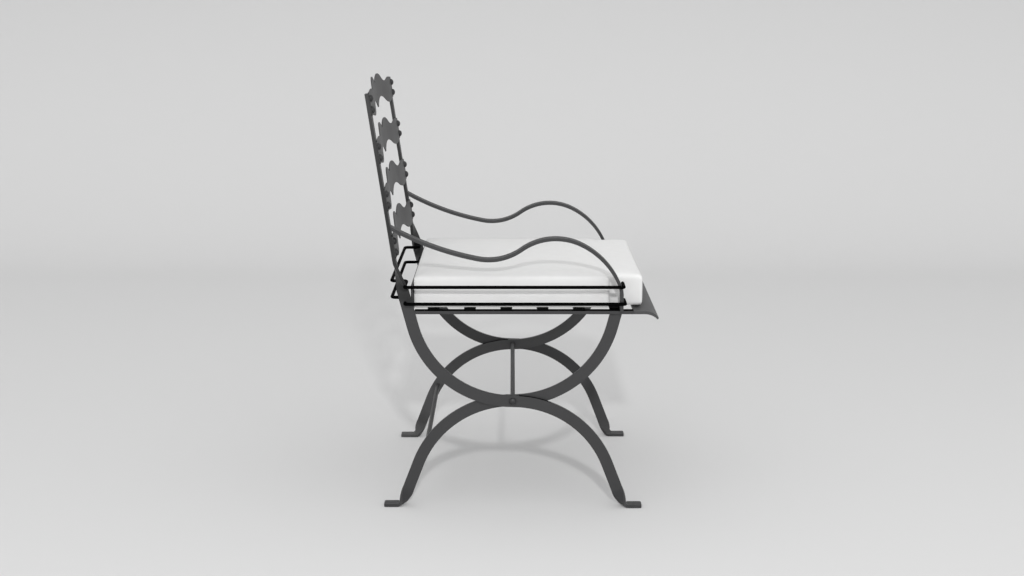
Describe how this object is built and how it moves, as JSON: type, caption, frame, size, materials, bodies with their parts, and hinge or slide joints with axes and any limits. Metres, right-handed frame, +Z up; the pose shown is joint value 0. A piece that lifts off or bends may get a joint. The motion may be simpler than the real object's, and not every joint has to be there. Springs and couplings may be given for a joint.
{
  "type": "garden armchair",
  "caption": "Forged flat-bar garden armchair with shaped back slats, curved arms, crossed hoop-and-arch legs, wire guards and a loose boxed seat cushion.",
  "frame": {"origin": "on the ground under the crossing of the side hoops, on the centre plane", "axes": "+X to the front of the seat, +Y to the sitter's left, +Z up"},
  "size_m": [0.6215, 0.5424, 0.9191],
  "materials": {
    "dark_iron_paint": "dark grey satin paint over forged iron",
    "rivet_paint": "dark grey satin paint",
    "black_wire_paint": "matt black paint",
    "white_fabric": "plain white woven cover over foam"
  },
  "bodies": {
    "frame": {"right_stile_and_front_leg": "dark_iron_paint", "right_rear_leg_arch": "dark_iron_paint", "right_arm": "dark_iron_paint", "right_seat_rail": "dark_iron_paint", "left_stile_and_front_leg": "dark_iron_paint", "left_rear_leg_arch": "dark_iron_paint", "left_arm": "dark_iron_paint", "left_seat_rail": "dark_iron_paint", "centre_tie_rod": "dark_iron_paint", "rear_stretcher_rod": "dark_iron_paint", "front_lip": "dark_iron_paint", "rear_seat_plate": "dark_iron_paint", "back_slat_1": "dark_iron_paint", "back_slat_2": "dark_iron_paint", "back_slat_3": "dark_iron_paint", "back_slat_4": "dark_iron_paint", "seat_slat_1": "dark_iron_paint", "seat_slat_2": "dark_iron_paint", "seat_slat_3": "dark_iron_paint", "seat_slat_4": "dark_iron_paint", "seat_slat_5": "dark_iron_paint", "seat_slat_6": "dark_iron_paint", "back_slat_rivets": "rivet_paint", "upper_guard_wire": "black_wire_paint", "lower_guard_wire": "black_wire_paint"},
    "cushion": {"seat_cushion": "white_fabric"}
  },
  "joints": [
    {"name": "cushion_lift", "type": "slide", "parent": "frame", "child": "cushion", "axis": [0, 0, 1], "range_m": [0, 0.2]}
  ]
}
